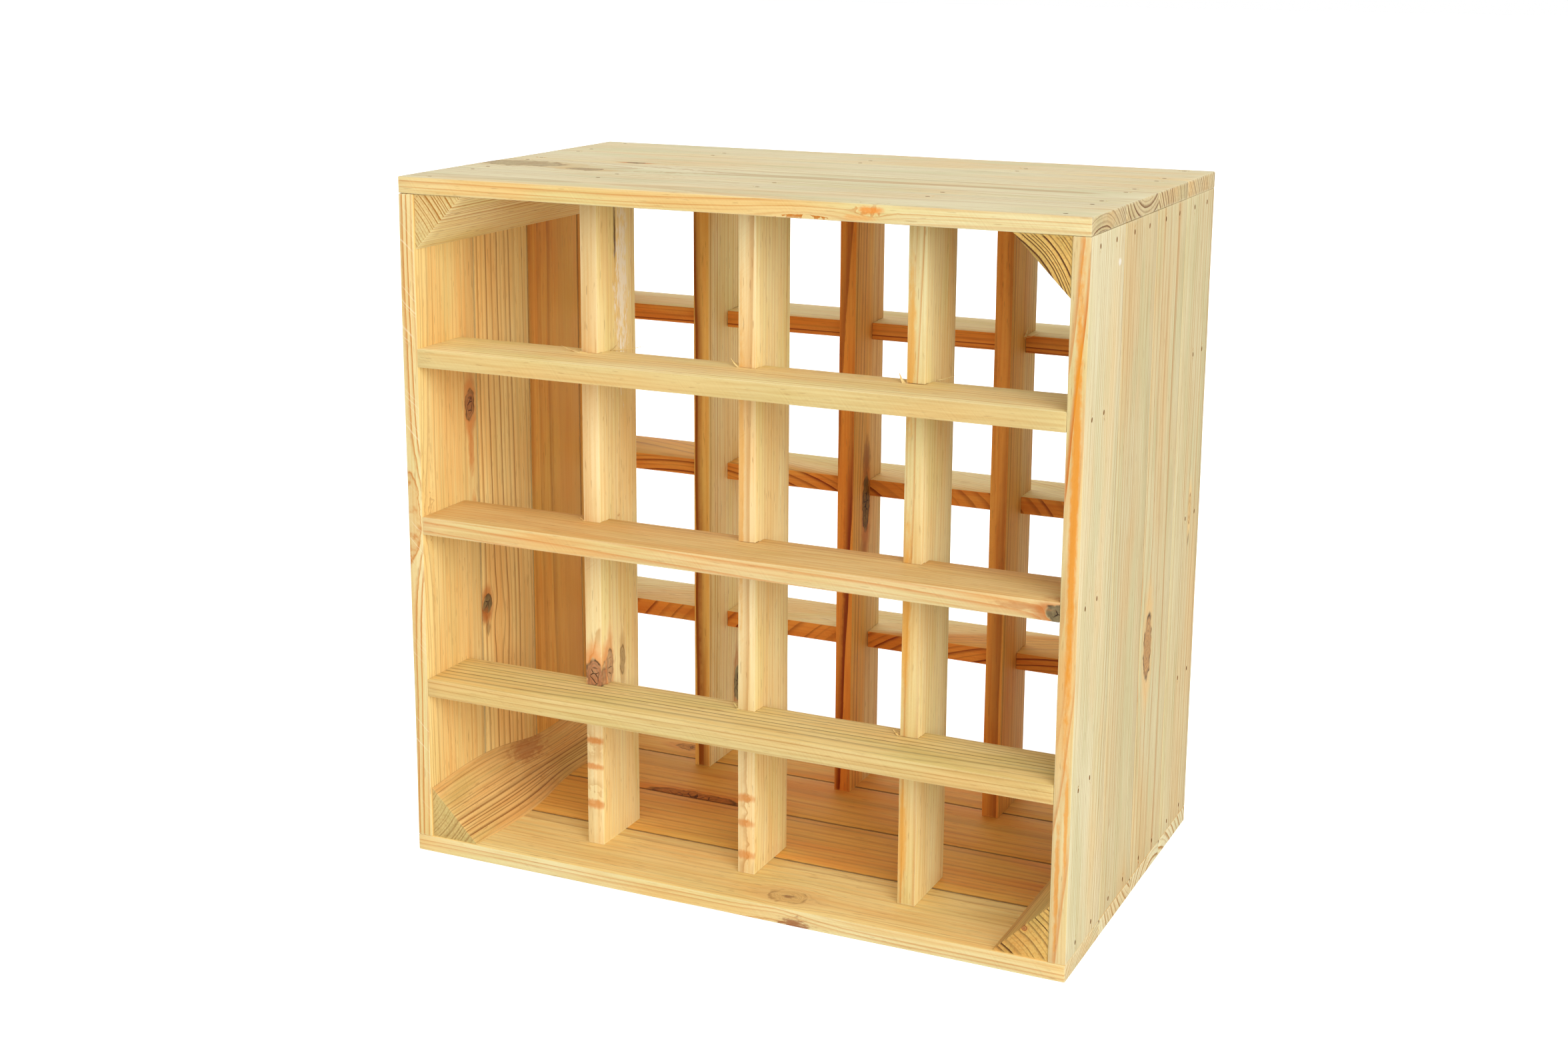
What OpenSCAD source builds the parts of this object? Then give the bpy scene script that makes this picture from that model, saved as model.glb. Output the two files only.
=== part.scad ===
// Wine rack: an open box of softwood boards that holds bottles lying down.
// Four boards side by side make each of the top, bottom, left and right panels. The side boards stand
// between the top and bottom boards, triangular blocks fill the inner corners, and two lattices of
// slats, one near the front and one near the back, cross in half laps and carry the bottles.
// +Z is up, the open front faces -Y, and the origin is under the middle of the rack.

/* [Case] */
// Width of the rack, over the side boards
rack_width = 500; // [360:1:900]
// Depth of the rack, front edge to back edge
rack_depth = 300; // [240:1:400]
// Height of the rack, over the top and bottom boards
rack_height = 500; // [360:1:900]
// Thickness of every outer board
board_thickness = 12; // [8:0.5:20]
// Number of boards across the depth of each panel
boards_per_panel = 4; // [2:1:6]
// Gap that drying leaves between neighbouring boards
board_gap = 0.4; // [0.1:0.1:1]

/* [Lattice] */
// Bottles across one row
bottles_across = 4; // [2:1:6]
// Bottles up one column
bottles_up = 4; // [2:1:6]
// Thickness of a slat
slat_thickness = 13; // [9:0.5:20]
// Width of a slat, measured along the depth of the rack
slat_width = 55; // [46:0.5:70]
// How far the front uprights stand behind the front edge
front_setback = 41; // [20:0.5:50]
// How far the rear uprights stand inside the back edge
rear_setback = 32; // [20:0.5:50]
// Play between a notch and the slat that passes through it
notch_play = 0.3; // [0.1:0.05:1]

/* [Corner blocks] */
// Length of each of the two short sides of a triangular block
block_leg = 39; // [30:0.5:60]
// How far each end of a block stops short of the rack's open faces
block_inset = 1.5; // [0:0.5:10]

/* [Brads] */
// Diameter of a brad
brad_diameter = 1.4; // [1:0.1:2.5]
// Length of a brad
brad_length = 28; // [22:0.5:32]
// Depth that a brad's blunt head is driven below the surface
brad_sink = 1; // [0:0.25:2]
// Play all round a brad in its hole
brad_play = 0.05; // [0.02:0.01:0.1]
// Distance from a board's edge to its brad in a side board
side_brad_edge = 20; // [16:0.5:24]
// Distance from a board's edge to its brad in a top or bottom board
cap_brad_edge = 10; // [6:0.5:13]
// Distance from a slat's edge to its brad
slat_brad_edge = 15; // [10:0.5:17]
// Least distance from any brad to the edge of the board that it goes through
least_brad_edge = 8; // [4:0.5:10]
// Depth of the line of brads inside a corner block, from the two faces that it is nailed through
block_brad_depth = 8; // [6:0.5:12]

/* [Hidden] */
$fn = 32;
over = 1;
front = -rack_depth / 2;
back = rack_depth / 2;
inner_width = rack_width - 2 * board_thickness;
inner_height = rack_height - 2 * board_thickness;
board_width = (rack_depth - (boards_per_panel - 1) * board_gap) / boards_per_panel;
cell_width = (inner_width - (bottles_across - 1) * slat_thickness) / bottles_across;
cell_height = (inner_height - (bottles_up - 1) * slat_thickness) / bottles_up;
front_lap = slat_width - front_setback;
rear_lap = slat_width - rear_setback;
block_brad_line = board_thickness + block_brad_depth;
brad_reach = brad_length + brad_sink;
hole_diameter = brad_diameter + 2 * brad_play;
pine = "#efd9a4";
pale_pine = "#f1e2b8";
deep_pine = "#e8c486";
steel = "#a9a7a2";

UPRIGHTS = [1:bottles_across - 1];
SHELVES = [1:bottles_up - 1];
BOARDS = [1:boards_per_panel];
LEVELS = ["top", "bottom"];
SIDES = ["left", "right"];
PLACES = ["front", "rear"];

// ---- Places, worked out from the sizes ----

// Front edge of board i, counted from the open front
function board_y(i) = front + (i - 1) * (board_width + board_gap);

// Left face of upright i, counted from the left
function upright_x(i) = -inner_width / 2 + i * cell_width + (i - 1) * slat_thickness;

// Underside of shelf slat i, counted from the bottom
function shelf_z(i) = board_thickness + i * cell_height + (i - 1) * slat_thickness;

// Front edge of the uprights and of the shelf slats in each lattice
function upright_y(place) = place == "front" ? front + front_setback : back - rear_setback - slat_width;
function shelf_y(place) = place == "front" ? front : back - slat_width;
function lap(place) = place == "front" ? front_lap : rear_lap;

// The board that covers the depth y, and y moved until a brad there is well clear of that board's edges
function board_at(y) = min(boards_per_panel, 1 + floor((y - front) / (board_width + board_gap)));
function clear_of_seams(y) =
    let (edge = board_y(board_at(y)))
    max(edge + least_brad_edge, min(edge + board_width - least_brad_edge, y));

// Distances across the depth at which a pair of brads goes through each board, or into each slat's end
function board_brads(edge) = [for (i = BOARDS, y = [edge, board_width - edge]) board_y(i) + y];
function slat_brads(y) = [for (d = [slat_brad_edge, slat_width - slat_brad_edge]) clear_of_seams(y + d)];

// Every brad in a side panel, as [y, z], with z measured from the floor
function side_brads() = [
    for (y = board_brads(side_brad_edge), z = [block_brad_line, rack_height - block_brad_line]) [y, z],
    for (place = PLACES, y = slat_brads(shelf_y(place)), i = SHELVES)
        [y, shelf_z(i) + slat_thickness / 2]
];

// Every brad in a top or bottom panel, as [x, y]
function cap_brads() = [
    for (y = board_brads(cap_brad_edge), side = [-1, 1])
        [side * (rack_width / 2 - block_brad_line), y],
    for (place = PLACES, y = slat_brads(upright_y(place)), i = UPRIGHTS)
        [upright_x(i) + slat_thickness / 2, y]
];

// ---- Brads and the holes that they make ----

// Puts its children on every brad's line through a side panel, with +Z pointing into the rack
module at_side_brads(side) {
    turn = side == "left" ? 90 : -90;
    face = side == "left" ? -rack_width / 2 : rack_width / 2;
    for (p = side_brads()) translate([face, p[0], p[1]]) rotate([0, turn, 0]) children();
}

// Puts its children on every brad's line through a top or bottom panel, with +Z pointing into the rack
module at_cap_brads(level) {
    turn = level == "top" ? 180 : 0;
    face = level == "top" ? rack_height : 0;
    for (p = cap_brads()) translate([p[0], p[1], face]) rotate([turn, 0, 0]) children();
}

module brad() {
    translate([0, 0, brad_sink]) cylinder(d = brad_diameter, h = brad_length);
}

module brad_hole() {
    translate([0, 0, -over]) cylinder(d = hole_diameter, h = brad_reach + over);
}

module side_brad_group(side) {
    color(steel) at_side_brads(side) brad();
}

module cap_brad_group(level) {
    color(steel) at_cap_brads(level) brad();
}

// ---- Boards of the case ----

module cap_board(level, i) {
    z = level == "top" ? rack_height - board_thickness : 0;
    color(pale_pine) difference() {
        translate([-rack_width / 2, board_y(i), z]) cube([rack_width, board_width, board_thickness]);
        at_cap_brads(level) brad_hole();
    }
}

module side_board(side, i) {
    x = side == "left" ? -rack_width / 2 : rack_width / 2 - board_thickness;
    color(pine) difference() {
        translate([x, board_y(i), board_thickness]) cube([board_thickness, board_width, inner_height]);
        at_side_brads(side) brad_hole();
    }
}

// ---- Triangular blocks in the inner corners ----

module corner_block(level, side) {
    across = side == "left" ? 1 : -1;
    up = level == "top" ? -1 : 1;
    corner_x = -across * inner_width / 2;
    corner_z = level == "top" ? rack_height - board_thickness : board_thickness;
    outline = [
        [corner_x, corner_z],
        [corner_x + across * block_leg, corner_z],
        [corner_x, corner_z + up * block_leg]
    ];
    color(deep_pine) difference() {
        translate([0, back - block_inset, 0]) rotate([90, 0, 0])
            linear_extrude(rack_depth - 2 * block_inset) polygon(outline);
        at_side_brads(side) brad_hole();
        at_cap_brads(level) brad_hole();
    }
}

// ---- Lattices of slats ----

// One upright, with a notch for each shelf slat in the edge that faces it
module upright(place, i) {
    y = upright_y(place);
    notch = lap(place) / 2;
    notch_y = place == "front" ? y - over : y + slat_width - notch;
    color(pine) difference() {
        translate([upright_x(i), y, board_thickness]) cube([slat_thickness, slat_width, inner_height]);
        for (k = SHELVES)
            translate([upright_x(i) - over, notch_y, shelf_z(k) - notch_play / 2])
                cube([slat_thickness + 2 * over, notch + over, slat_thickness + notch_play]);
        for (level = LEVELS) at_cap_brads(level) brad_hole();
    }
}

// One shelf slat, with a notch for each upright in the edge that faces it
module shelf(place, i) {
    y = shelf_y(place);
    notch = lap(place) / 2;
    notch_y = place == "front" ? y + slat_width - notch : y - over;
    color(pale_pine) difference() {
        translate([-inner_width / 2, y, shelf_z(i)]) cube([inner_width, slat_width, slat_thickness]);
        for (k = UPRIGHTS)
            translate([upright_x(k) - notch_play / 2, notch_y, shelf_z(i) - over])
                cube([slat_thickness + notch_play, notch + over, slat_thickness + 2 * over]);
        for (side = SIDES) at_side_brads(side) brad_hole();
    }
}

// ---- The rack ----

for (level = LEVELS, i = BOARDS)
    cap_board(level, i);
for (side = SIDES, i = BOARDS)
    side_board(side, i);
for (level = LEVELS, side = SIDES)
    corner_block(level, side);
for (place = PLACES, i = UPRIGHTS)
    upright(place, i);
for (place = PLACES, i = SHELVES)
    shelf(place, i);
for (level = LEVELS)
    cap_brad_group(level);
for (side = SIDES)
    side_brad_group(side);
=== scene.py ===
# %% [markdown]
# # A wine rack of unfinished pine
# The rack is a crate of thin pine boards, open at the front and the back, with two lattices of slats
# inside it. Every piece of wood is shaped here the way a workshop would shape it: cut to size, notched,
# eased at its edges, left a little uneven, and bored where a brad goes in. The sizes come from the frame.

# %% Load the frame
import math
import random
import bpy
from mathutils import Matrix, Vector


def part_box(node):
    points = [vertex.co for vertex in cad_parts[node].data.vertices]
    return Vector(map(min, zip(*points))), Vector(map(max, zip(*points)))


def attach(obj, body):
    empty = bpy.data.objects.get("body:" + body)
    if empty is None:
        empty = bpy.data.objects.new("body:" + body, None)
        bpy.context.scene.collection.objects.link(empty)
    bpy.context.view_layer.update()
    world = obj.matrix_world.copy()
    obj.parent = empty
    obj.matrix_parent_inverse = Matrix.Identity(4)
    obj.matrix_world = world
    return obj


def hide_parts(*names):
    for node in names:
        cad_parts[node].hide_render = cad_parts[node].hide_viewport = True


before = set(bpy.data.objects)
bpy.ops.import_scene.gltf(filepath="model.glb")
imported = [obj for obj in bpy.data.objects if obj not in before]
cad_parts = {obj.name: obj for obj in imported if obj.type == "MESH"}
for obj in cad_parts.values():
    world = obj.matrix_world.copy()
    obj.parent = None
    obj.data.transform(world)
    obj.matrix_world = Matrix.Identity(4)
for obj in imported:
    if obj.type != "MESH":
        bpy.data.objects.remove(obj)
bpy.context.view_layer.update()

MM = 0.001

# %% [markdown]
# ## Camera, light and floor
# The rack stands in a white studio. The camera looks down a little, from the right of the open front. A
# small shift frames the rack without tipping the camera further, so its uprights stay close to upright.

# %% The camera
LENS = 50.4
CAMERA_PLACE = (0.6333, -1.4214, 0.6631)
TURN, TIP, LEAN = (math.radians(d) for d in (24.769, 12.614, 0.334))
SHIFT = -0.06

camera_data = bpy.data.cameras.new("Camera")
camera_data.lens = LENS
camera_data.sensor_width = 36
camera_data.shift_y = SHIFT
camera = bpy.data.objects.new("Camera", camera_data)
bpy.context.scene.collection.objects.link(camera)
aim = Matrix.Rotation(TURN, 4, "Z") @ Matrix.Rotation(math.pi / 2 - TIP, 4, "X")
aim = aim @ Matrix.Rotation(LEAN, 4, "Z")
camera.matrix_world = Matrix.Translation(CAMERA_PLACE) @ aim
bpy.context.scene.camera = camera
bpy.context.scene.view_settings.view_transform = "Standard"

# %% [markdown]
# The light is that of a white tent. A sun lamp with a very wide disc acts like a large soft box: it is as
# strong at the horizon as beside the rack, so the floor has no bright pool, and its shadows are soft. It
# stands low and well to the front, so that it reaches deep into the cells, and a much weaker one stands
# behind, so that the back isn't flat. The world gives the even light of the tent's walls. Rays that go
# straight from the camera to it, or to the floor, find them almost pure white, as an overexposed backdrop
# is.

# %% The light
TENT_LIGHT = 0.71
FLOOR_SIZE, FLOOR_GREY, FLOOR_GLOW = 40, 0.85, 0.6

def soft_sun(name, direction, strength, width, colour=(1, 1, 1)):
    """A wide sun lamp that shines from a direction. Its width is an angle in degrees."""
    data = bpy.data.lights.new(name, "SUN")
    data.energy, data.angle, data.color = strength, math.radians(width), colour
    lamp = bpy.data.objects.new(name, data)
    bpy.context.scene.collection.objects.link(lamp)
    lamp.location = Vector(direction) * 3
    lamp.rotation_euler = Vector(direction).to_track_quat("Z", "Y").to_euler()

soft_sun("Front box", (0.62, -0.66, 0.42), 2.15, 46)
soft_sun("Back box", (-0.55, 0.70, 0.45), 0.6, 60)

world = bpy.data.worlds.new("White tent")
world.use_nodes = True
sky = world.node_tree
seen = sky.nodes.new("ShaderNodeLightPath").outputs["Is Camera Ray"]
level = sky.nodes.new("ShaderNodeMapRange")
level.inputs["To Min"].default_value = TENT_LIGHT
level.inputs["To Max"].default_value = 1.0
sky.links.new(seen, level.inputs["Value"])
sky.nodes["Background"].inputs["Color"].default_value = (1, 1, 1, 1)
sky.links.new(level.outputs["Result"], sky.nodes["Background"].inputs["Strength"])
bpy.context.scene.world = world

# %% The floor
def deselect():
    """Leaves nothing selected, so that the next tool works on one piece only."""
    for thing in bpy.context.selected_objects:
        thing.select_set(False)

deselect()
bpy.ops.mesh.primitive_plane_add(size=FLOOR_SIZE, location=(0, 0, 0))
floor = bpy.context.object
floor.name = "Floor"
floor_paint = bpy.data.materials.new("Floor paint")
floor_paint.use_nodes = True
floor_tree = floor_paint.node_tree
floor_shader = floor_tree.nodes["Principled BSDF"]
floor_shader.inputs["Base Color"].default_value = (FLOOR_GREY, FLOOR_GREY, FLOOR_GREY, 1)
floor_shader.inputs["Roughness"].default_value = 0.8
floor_shader.inputs["Emission Color"].default_value = (1, 1, 1, 1)
seen = floor_tree.nodes.new("ShaderNodeLightPath").outputs["Is Camera Ray"]
glow = floor_tree.nodes.new("ShaderNodeMapRange")
glow.inputs["To Max"].default_value = FLOOR_GLOW
floor_tree.links.new(seen, glow.inputs["Value"])
floor_tree.links.new(glow.outputs["Result"], floor_shader.inputs["Emission Strength"])
floor.data.materials.append(floor_paint)

# %% [markdown]
# ## Small helpers for node trees
# A material is a tree of nodes. These helpers add one node each and return its output, so that the
# groups below read like sentences. A value may be a number or the output of another node.

# %% Node helpers
def tint(code):
    """A web colour as the linear numbers that a shader takes."""
    parts = [int(code[i:i + 2], 16) / 255 for i in (1, 3, 5)]
    return tuple(p / 12.92 if p <= 0.04045 else ((p + 0.055) / 1.055) ** 2.4 for p in parts) + (1,)

def put(tree, socket, value):
    """Gives an input its value: a link from another node, or a plain number or colour."""
    if isinstance(value, bpy.types.NodeSocket):
        tree.links.new(value, socket)
    else:
        socket.default_value = value

def sums(tree, operation, *values):
    """A Math node."""
    made = tree.nodes.new("ShaderNodeMath")
    made.operation = operation
    for socket, value in zip(made.inputs, values):
        put(tree, socket, value)
    return made.outputs[0]

def times(tree, first, *others):
    """Several values multiplied together."""
    for other in others:
        first = sums(tree, "MULTIPLY", first, other)
    return first

def arrows(tree, operation, *values):
    """A Vector Math node. A dot product or a length comes back as a number."""
    made = tree.nodes.new("ShaderNodeVectorMath")
    made.operation = operation
    for socket, value in zip(made.inputs, values):
        put(tree, socket, value)
    return made.outputs["Value" if operation in ("DOT_PRODUCT", "LENGTH") else "Vector"]

def scaled(tree, vector, factor):
    """A vector times a number."""
    made = tree.nodes.new("ShaderNodeVectorMath")
    made.operation = "SCALE"
    put(tree, made.inputs[0], vector)
    put(tree, made.inputs["Scale"], factor)
    return made.outputs[0]

def noise(tree, vector, scale, detail=2.0, rough=0.5, output="Fac"):
    """Cloudy noise from 0 to 1. A scale of 100 has a lump every 10 mm."""
    made = tree.nodes.new("ShaderNodeTexNoise")
    put(tree, made.inputs["Vector"], vector)
    made.inputs["Scale"].default_value = scale
    made.inputs["Detail"].default_value = detail
    made.inputs["Roughness"].default_value = rough
    return made.outputs[output]

def noise_line(tree, value, scale, detail=1.0):
    """Noise along a line, from 0 to 1."""
    made = tree.nodes.new("ShaderNodeTexNoise")
    made.noise_dimensions = "1D"
    put(tree, made.inputs["W"], value)
    made.inputs["Scale"].default_value = scale
    made.inputs["Detail"].default_value = detail
    return made.outputs["Fac"]

def spread(tree, value, low, high, to_low=0.0, to_high=1.0):
    """Eases a value from one range to another and keeps it inside."""
    made = tree.nodes.new("ShaderNodeMapRange")
    made.interpolation_type = "SMOOTHSTEP"
    for name, number in (("Value", value), ("From Min", low), ("From Max", high),
                         ("To Min", to_low), ("To Max", to_high)):
        put(tree, made.inputs[name], number)
    return made.outputs["Result"]

def blend(tree, amount, first, second, kind="MIX"):
    """Mixes two colours."""
    made = tree.nodes.new("ShaderNodeMix")
    made.data_type, made.blend_type = "RGBA", kind
    for name, value in (("Factor_Float", amount), ("A_Color", first), ("B_Color", second)):
        put(tree, next(s for s in made.inputs if s.identifier == name), value)
    return next(s for s in made.outputs if s.identifier == "Result_Color")

def new_group(name, inputs, outputs):
    """An empty node group with named inputs and outputs, and its two end nodes."""
    tree = bpy.data.node_groups.new(name, "ShaderNodeTree")
    for label, kind in inputs:
        tree.interface.new_socket(label, in_out="INPUT", socket_type="NodeSocket" + kind)
    for label, kind in outputs:
        tree.interface.new_socket(label, in_out="OUTPUT", socket_type="NodeSocket" + kind)
    start, end = tree.nodes.new("NodeGroupInput"), tree.nodes.new("NodeGroupOutput")
    return tree, start.outputs, end.inputs

def use_group(tree, group, **values):
    """Places a group in a tree. A name such as ring_width sets the input Ring Width."""
    made = tree.nodes.new("ShaderNodeGroup")
    made.node_tree = group
    for name, value in values.items():
        put(tree, made.inputs[name.replace("_", " ").title()], value)
    return made.outputs

# %% [markdown]
# ## Growth rings
# A pine grows one ring a year: wide pale early wood, then a thin orange line of late wood. A board is a
# slice of that log, so the pattern is worked out in three dimensions as the distance from the pith. The
# faces, edges and ends of a piece then agree with each other: straight lines on one face, long bands on
# the next and arcs on the end grain. A painted-on stripe would not do that.

# %% The ring group
rings_group, ins, outs = new_group(
    "Growth rings",
    [("Position", "Vector"), ("Pith", "Vector"), ("Grain", "Vector"), ("Ring Width", "Float"),
     ("Wander", "Float"), ("Ripple", "Float"), ("Late Share", "Float")],
    [("Late Wood", "Float"), ("Stretched", "Vector"), ("Radius", "Float")])
t = rings_group
from_pith = arrows(t, "SUBTRACT", ins["Position"], ins["Pith"])
along = arrows(t, "DOT_PRODUCT", from_pith, ins["Grain"])
across = arrows(t, "SUBTRACT", from_pith, scaled(t, ins["Grain"], along))
slow = arrows(t, "ADD", across, scaled(t, ins["Grain"], sums(t, "MULTIPLY", along, 0.22)))
bend = arrows(t, "SUBTRACT", noise(t, slow, 16, 1.5, 0.45, "Color"), (0.5, 0.5, 0.5))
bent = arrows(t, "ADD", across, scaled(t, bend, ins["Wander"]))
bent = arrows(t, "SUBTRACT", bent, scaled(t, ins["Grain"], arrows(t, "DOT_PRODUCT", bent, ins["Grain"])))
quick_way = arrows(t, "ADD", across, scaled(t, ins["Grain"], sums(t, "MULTIPLY", along, 0.12)))
ripple = sums(t, "SUBTRACT", noise(t, quick_way, 130, 3, 0.55), 0.5)
radius = sums(t, "ADD", arrows(t, "LENGTH", bent), sums(t, "MULTIPLY", ripple, ins["Ripple"]))
count = sums(t, "DIVIDE", radius, ins["Ring Width"])
uneven = sums(t, "SUBTRACT", noise_line(t, count, 0.37, 2), 0.5)
count = sums(t, "ADD", count, sums(t, "MULTIPLY", uneven, 1.6))
part = sums(t, "FRACT", count)
begin = sums(t, "SUBTRACT", 0.94, ins["Late Share"])
rise = spread(t, part, begin, 0.92)
line = sums(t, "MULTIPLY", rise, spread(t, part, 0.93, 1.0, 1.0, 0.0))
good_year = spread(t, noise_line(t, sums(t, "FLOOR", count), 3.7, 0), 0.3, 0.7, 0.3, 1.0)
good_decade = spread(t, noise_line(t, count, 0.11, 0), 0.35, 0.6, 0.65, 1.0)
put(t, outs["Late Wood"], times(t, line, good_year, good_decade))
put(t, outs["Stretched"], slow)
put(t, outs["Radius"], radius)

# %% [markdown]
# ## Knots
# A knot is the foot of a branch. It is a dark core with fine rings and drying cracks of its own, and the
# grain parts and flows round it like water round a post. The group takes the place where the grain would
# be sampled and pushes it aside by the rule for flow round a cylinder, so several knots can be chained
# in one board. It also lifts the rings along the branch, so that they close in ovals round the knot. A
# knot reaches only so deep, and one with no colour of its own is just a swell in the grain.

# %% The knot group
knot_group, ins, outs = new_group(
    "Knot",
    [("Position", "Vector"), ("Flow", "Vector"), ("Centre", "Vector"), ("Grain", "Vector"),
     ("Branch", "Vector"), ("Radius", "Float"), ("Stretch", "Float"), ("Reach", "Float")],
    [("Flow", "Vector"), ("Core", "Float"), ("Rings", "Float"), ("Halo", "Float"), ("Rim", "Float"),
     ("Cracks", "Float")])
t = knot_group
wobble = arrows(t, "SUBTRACT", noise(t, ins["Position"], 150, 2, 0.5, "Color"), (0.5, 0.5, 0.5))
wobble = scaled(t, wobble, sums(t, "MULTIPLY", ins["Radius"], 0.9))
away = arrows(t, "ADD", arrows(t, "SUBTRACT", ins["Position"], ins["Centre"]), wobble)
depth = arrows(t, "DOT_PRODUCT", away, ins["Branch"])
near = spread(t, sums(t, "DIVIDE", sums(t, "ABSOLUTE", depth), ins["Reach"]), 0.6, 1.0, 1.0, 0.0)
away = arrows(t, "SUBTRACT", away, scaled(t, ins["Branch"], depth))
along = arrows(t, "DOT_PRODUCT", away, ins["Grain"])
across = arrows(t, "SUBTRACT", away, scaled(t, ins["Grain"], along))
oval = arrows(t, "ADD", across, scaled(t, ins["Grain"], sums(t, "DIVIDE", along, ins["Stretch"])))
reach = sums(t, "DIVIDE", arrows(t, "LENGTH", oval), ins["Radius"])
squeeze = sums(t, "MULTIPLY", sums(t, "POWER", sums(t, "MAXIMUM", reach, 1.0), -2.0), near)
lift = times(t, squeeze, ins["Radius"], 0.55)
flow = arrows(t, "SUBTRACT", ins["Flow"], scaled(t, across, squeeze))
put(t, outs["Flow"], arrows(t, "ADD", flow, scaled(t, ins["Branch"], lift)))
put(t, outs["Core"], sums(t, "MULTIPLY", spread(t, reach, 0.86, 1.06, 1.0, 0.0), near))
turns = times(t, reach, ins["Radius"], 4200)
put(t, outs["Rings"], spread(t, sums(t, "SINE", turns), -1.0, 1.0))
shrunk = sums(t, "DIVIDE", along, times(t, ins["Stretch"], 1.6))
tail = arrows(t, "ADD", across, scaled(t, ins["Grain"], shrunk))
tail = sums(t, "DIVIDE", arrows(t, "LENGTH", tail), ins["Radius"])
put(t, outs["Halo"], times(t, spread(t, tail, 0.8, 1.7, 1.0, 0.0), spread(t, reach, 0.9, 1.05), near))
rim = sums(t, "MULTIPLY", spread(t, reach, 0.8, 0.98), spread(t, reach, 0.98, 1.14, 1.0, 0.0))
patchy = spread(t, noise(t, ins["Position"], 120, 1), 0.35, 0.6)
put(t, outs["Rim"], times(t, rim, near, patchy))
split = t.nodes.new("ShaderNodeTexVoronoi")
split.feature = "DISTANCE_TO_EDGE"
split.inputs["Scale"].default_value = 170
put(t, split.inputs["Vector"], arrows(t, "ADD", ins["Position"], scaled(t, wobble, 0.5)))
crack = spread(t, split.outputs["Distance"], 0.02, 0.09, 1.0, 0.0)
put(t, outs["Cracks"], times(t, crack, spread(t, reach, 0.35, 0.75, 1.0, 0.0), near))

# %% [markdown]
# ## Fibres, saw marks and worn arrises
# Close up, sawn pine is not smooth. Its fibres show as hair-fine streaks along the grain, short dark
# resin ducts dot the late wood, and the saw leaves faint slanting ribs across every narrow edge. Along
# the arrises, where two faces meet, handling has rubbed the wood pale and a little furry.

# %% The surface group
surface_group, ins, outs = new_group(
    "Sawn surface",
    [("Position", "Vector"), ("Grain", "Vector"), ("Across", "Vector"), ("Normal", "Vector"),
     ("Low", "Vector"), ("High", "Vector")],
    [("Streaks", "Float"), ("Fine", "Float"), ("Ducts", "Float"), ("Saw Ribs", "Float"),
     ("End Grain", "Float"), ("Arris", "Float"), ("Scratches", "Float"), ("Edge", "Float")])
t = surface_group
along = arrows(t, "DOT_PRODUCT", ins["Position"], ins["Grain"])
across = arrows(t, "SUBTRACT", ins["Position"], scaled(t, ins["Grain"], along))
long_way = arrows(t, "ADD", across, scaled(t, ins["Grain"], sums(t, "MULTIPLY", along, 0.025)))
short_way = arrows(t, "ADD", across, scaled(t, ins["Grain"], sums(t, "MULTIPLY", along, 0.09)))
put(t, outs["Streaks"], noise(t, long_way, 520, 4, 0.6))
put(t, outs["Fine"], noise(t, short_way, 2300, 2, 0.6))
put(t, outs["Ducts"], spread(t, noise(t, short_way, 800, 1, 0.5), 0.66, 0.74))
end = spread(t, sums(t, "ABSOLUTE", arrows(t, "DOT_PRODUCT", ins["Normal"], ins["Grain"])), 0.55, 0.75)
edge = spread(t, sums(t, "ABSOLUTE", arrows(t, "DOT_PRODUCT", ins["Normal"], ins["Across"])), 0.55, 0.75)
put(t, outs["End Grain"], end)
put(t, outs["Edge"], edge)
third = arrows(t, "CROSS_PRODUCT", ins["Grain"], ins["Across"])
slant = times(t, arrows(t, "DOT_PRODUCT", ins["Position"], third), 0.9)
waver = times(t, noise(t, ins["Position"], 60, 2), 0.005)
ribs = noise_line(t, sums(t, "ADD", sums(t, "ADD", along, slant), waver), 380, 2)
put(t, outs["Saw Ribs"], times(t, ribs, edge, sums(t, "SUBTRACT", 1.0, end)))
marks = spread(t, noise_line(t, sums(t, "SUBTRACT", sums(t, "ADD", along, waver), slant), 420, 2), 0.58, 0.72)
put(t, outs["Scratches"], times(t, marks, edge, spread(t, noise(t, ins["Position"], 30, 1), 0.45, 0.6)))
low_gap = t.nodes.new("ShaderNodeSeparateXYZ")
put(t, low_gap.inputs[0], arrows(t, "SUBTRACT", ins["Position"], ins["Low"]))
high_gap = t.nodes.new("ShaderNodeSeparateXYZ")
put(t, high_gap.inputs[0], arrows(t, "SUBTRACT", ins["High"], ins["Position"]))
gap = [sums(t, "MINIMUM", low_gap.outputs[i], high_gap.outputs[i]) for i in range(3)]
smaller, larger = sums(t, "MINIMUM", gap[0], gap[1]), sums(t, "MAXIMUM", gap[0], gap[1])
second = sums(t, "MAXIMUM", smaller, sums(t, "MINIMUM", larger, gap[2]))
second = sums(t, "ADD", second, times(t, sums(t, "SUBTRACT", noise(t, short_way, 260, 3, 0.6), 0.5), 0.0035))
put(t, outs["Arris"], spread(t, second, 0.0002, 0.0016, 1.0, 0.0))
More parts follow.
